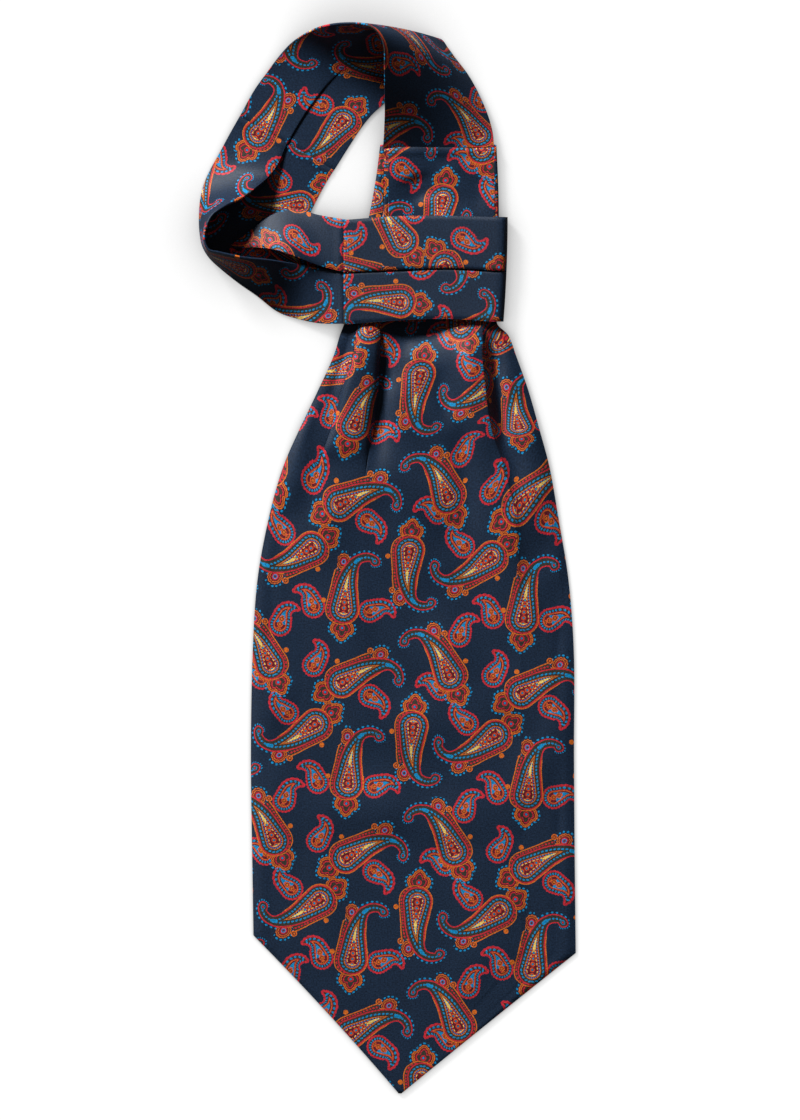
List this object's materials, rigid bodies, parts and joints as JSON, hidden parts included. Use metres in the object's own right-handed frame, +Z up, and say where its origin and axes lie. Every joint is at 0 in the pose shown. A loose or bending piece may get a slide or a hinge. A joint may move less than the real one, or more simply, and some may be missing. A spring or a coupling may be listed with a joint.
{
  "type": "silk cravat",
  "caption": "Navy silk paisley cravat laid flat, its neckband looped above, its pleated end wrapped over the front blade.",
  "frame": {"origin": "on the surface the cravat lies on, under the centre of its bounding box", "axes": "+Y from the pointed tip of the blade towards the neck loop, +X to the wearer's left as the front face is seen, +Z up from the surface"},
  "size_m": [0.1742, 0.4948, 0.0353],
  "materials": {
    "printed_silk": "satin"
  },
  "bodies": {
    "root": {"front_blade": "printed_silk", "back_blade_under": "printed_silk", "back_blade_wrap": "printed_silk", "neckband_right": "printed_silk", "neckband_left_outer": "printed_silk", "neckband_left_inner": "printed_silk", "neckband_left_upper": "printed_silk"}
  },
  "joints": []
}
